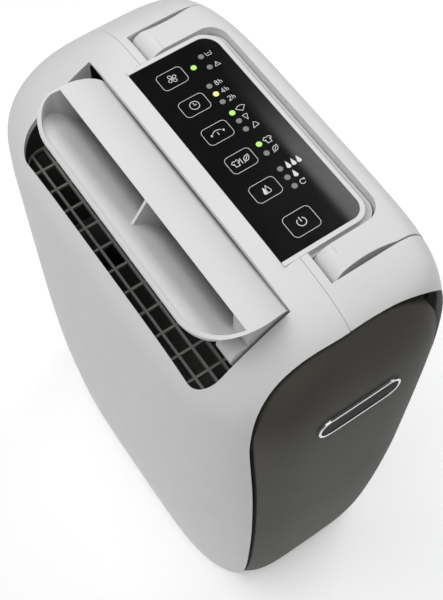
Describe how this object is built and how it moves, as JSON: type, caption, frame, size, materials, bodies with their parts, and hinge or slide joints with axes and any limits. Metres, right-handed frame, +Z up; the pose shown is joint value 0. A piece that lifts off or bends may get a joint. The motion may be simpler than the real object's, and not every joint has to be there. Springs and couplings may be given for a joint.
{
  "type": "dehumidifier",
  "caption": "Slim upright desiccant dehumidifier with a swinging outlet flap, touch-key panel, folding carry handle and pull-out tank behind a bowed dark front.",
  "frame": {"origin": "on the floor, below the middle of the casing", "axes": "+Z up, front panel towards -Y, outlet flap on the -X side, carry handle on the +X side"},
  "size_m": [0.1871, 0.3232, 0.478],
  "materials": {
    "casing_white": "satin white moulded plastic",
    "flap_white": "satin white moulded plastic",
    "panel_graphite": "warm dark grey metallic lacquer",
    "control_black": "glossy black",
    "legend_white": "printed",
    "lens_green": "lit lens",
    "lens_amber": "lit lens",
    "lens_grey": "unlit lens",
    "badge_black": "gloss",
    "badge_chrome": "polished",
    "grille_black": "fine grain",
    "grille_grey": "fine grain",
    "frame_grey": "fine grain",
    "tank_clear": "translucent",
    "inner_grey": "moulded",
    "foot_rubber": "matte",
    "steel": "bright",
    "condenser_plastic": "moulded",
    "filter_cloth": "fine woven mesh",
    "wheel_media": "porous",
    "board_green": "circuit board"
  },
  "bodies": {
    "housing": {"left_shell": "casing_white", "right_shell": "casing_white", "base_plate": "frame_grey", "rubber_feet": "foot_rubber", "inner_deck": "inner_grey", "tank_bulkhead": "inner_grey", "handle_tray": "casing_white", "front_frame": "frame_grey", "outlet_well": "grille_black", "outlet_grille": "grille_grey", "outlet_duct": "grille_black", "flap_motor": "inner_grey", "control_bezel": "casing_white", "control_glass": "control_black", "panel_legend": "legend_white", "control_board": "board_green", "lenses_green": "lens_green", "lens_amber": "lens_amber", "lenses_off": "lens_grey", "condenser": "condenser_plastic", "drip_tray": "inner_grey", "wheel_housing": "inner_grey", "drive_motor": "frame_grey", "heater": "steel", "fan_scroll": "inner_grey", "fan_motor": "steel", "power_board": "board_green", "tank_switch": "frame_grey", "cable_gland": "frame_grey", "drain_spout": "frame_grey"},
    "flap": {"outlet_flap": "flap_white", "flap_pins": "steel"},
    "handle": {"carry_handle": "casing_white", "handle_pins": "steel"},
    "tank_drawer": {"front_panel": "panel_graphite", "badge_plate": "badge_black", "badge_ring": "badge_chrome", "water_tank": "tank_clear", "tank_lid": "inner_grey", "float_bracket": "inner_grey"},
    "float": {"tank_float": "inner_grey"},
    "rear_intake": {"rear_cover": "casing_white", "filter_frame": "frame_grey", "filter_mesh": "filter_cloth"},
    "wheel": {"drying_wheel": "wheel_media", "wheel_rim": "inner_grey", "wheel_axle": "steel"},
    "roller": {"drive_roller": "foot_rubber"},
    "fan": {"fan_impeller": "frame_grey", "fan_shaft": "steel"},
    "plug": {"drain_plug": "foot_rubber"},
    "key_fan": {"button_fan": "control_black"},
    "key_timer": {"button_timer": "control_black"},
    "key_swing": {"button_swing": "control_black"},
    "key_laundry": {"button_laundry": "control_black"},
    "key_humidity": {"button_humidity": "control_black"},
    "key_power": {"button_power": "control_black"}
  },
  "joints": [
    {"name": "flap_swing", "type": "hinge", "parent": "housing", "child": "flap", "pos_m": [-0.053, 0, 0.44], "axis": [0, 1, 0], "range_deg": [-55, 5]},
    {"name": "handle_fold", "type": "hinge", "parent": "housing", "child": "handle", "pos_m": [0.02, 0, 0.46], "axis": [0, -1, 0], "range_deg": [0, 90]},
    {"name": "tank_pull", "type": "slide", "parent": "housing", "child": "tank_drawer", "axis": [0, -1, 0], "range_m": [0, 0.2]},
    {"name": "float_rise", "type": "hinge", "parent": "tank_drawer", "child": "float", "pos_m": [0.012, 0.018, 0.118], "axis": [0, 1, 0], "range_deg": [0, 12]},
    {"name": "intake_pull", "type": "slide", "parent": "housing", "child": "rear_intake", "axis": [0, 1, 0], "range_m": [0, 0.06]},
    {"name": "wheel_spin", "type": "hinge", "parent": "housing", "child": "wheel", "pos_m": [0, 0.111, 0.272], "axis": [0, 1, 0], "continuous": true},
    {"name": "roller_spin", "type": "hinge", "parent": "housing", "child": "roller", "pos_m": [0.05505, 0.111, 0.21695], "axis": [0, 1, 0], "continuous": true},
    {"name": "fan_spin", "type": "hinge", "parent": "housing", "child": "fan", "pos_m": [0, 0.048, 0.272], "axis": [0, 1, 0], "continuous": true},
    {"name": "plug_pull", "type": "slide", "parent": "housing", "child": "plug", "axis": [0, 1, 0], "range_m": [0, 0.03]},
    {"name": "press_fan", "type": "slide", "parent": "housing", "child": "key_fan", "axis": [0, 0, -1], "range_m": [0, 0.0006], "stiffness_N_per_m": 400, "springref_m": -0.0004},
    {"name": "press_timer", "type": "slide", "parent": "housing", "child": "key_timer", "axis": [0, 0, -1], "range_m": [0, 0.0006], "stiffness_N_per_m": 400, "springref_m": -0.0004},
    {"name": "press_swing", "type": "slide", "parent": "housing", "child": "key_swing", "axis": [0, 0, -1], "range_m": [0, 0.0006], "stiffness_N_per_m": 400, "springref_m": -0.0004},
    {"name": "press_laundry", "type": "slide", "parent": "housing", "child": "key_laundry", "axis": [0, 0, -1], "range_m": [0, 0.0006], "stiffness_N_per_m": 400, "springref_m": -0.0004},
    {"name": "press_humidity", "type": "slide", "parent": "housing", "child": "key_humidity", "axis": [0, 0, -1], "range_m": [0, 0.0006], "stiffness_N_per_m": 400, "springref_m": -0.0004},
    {"name": "press_power", "type": "slide", "parent": "housing", "child": "key_power", "axis": [0, 0, -1], "range_m": [0, 0.0006], "stiffness_N_per_m": 400, "springref_m": -0.0004}
  ],
  "couplings": [
    {"joint": "roller_spin", "follows": "wheel_spin", "ratio": -8.6875}
  ]
}
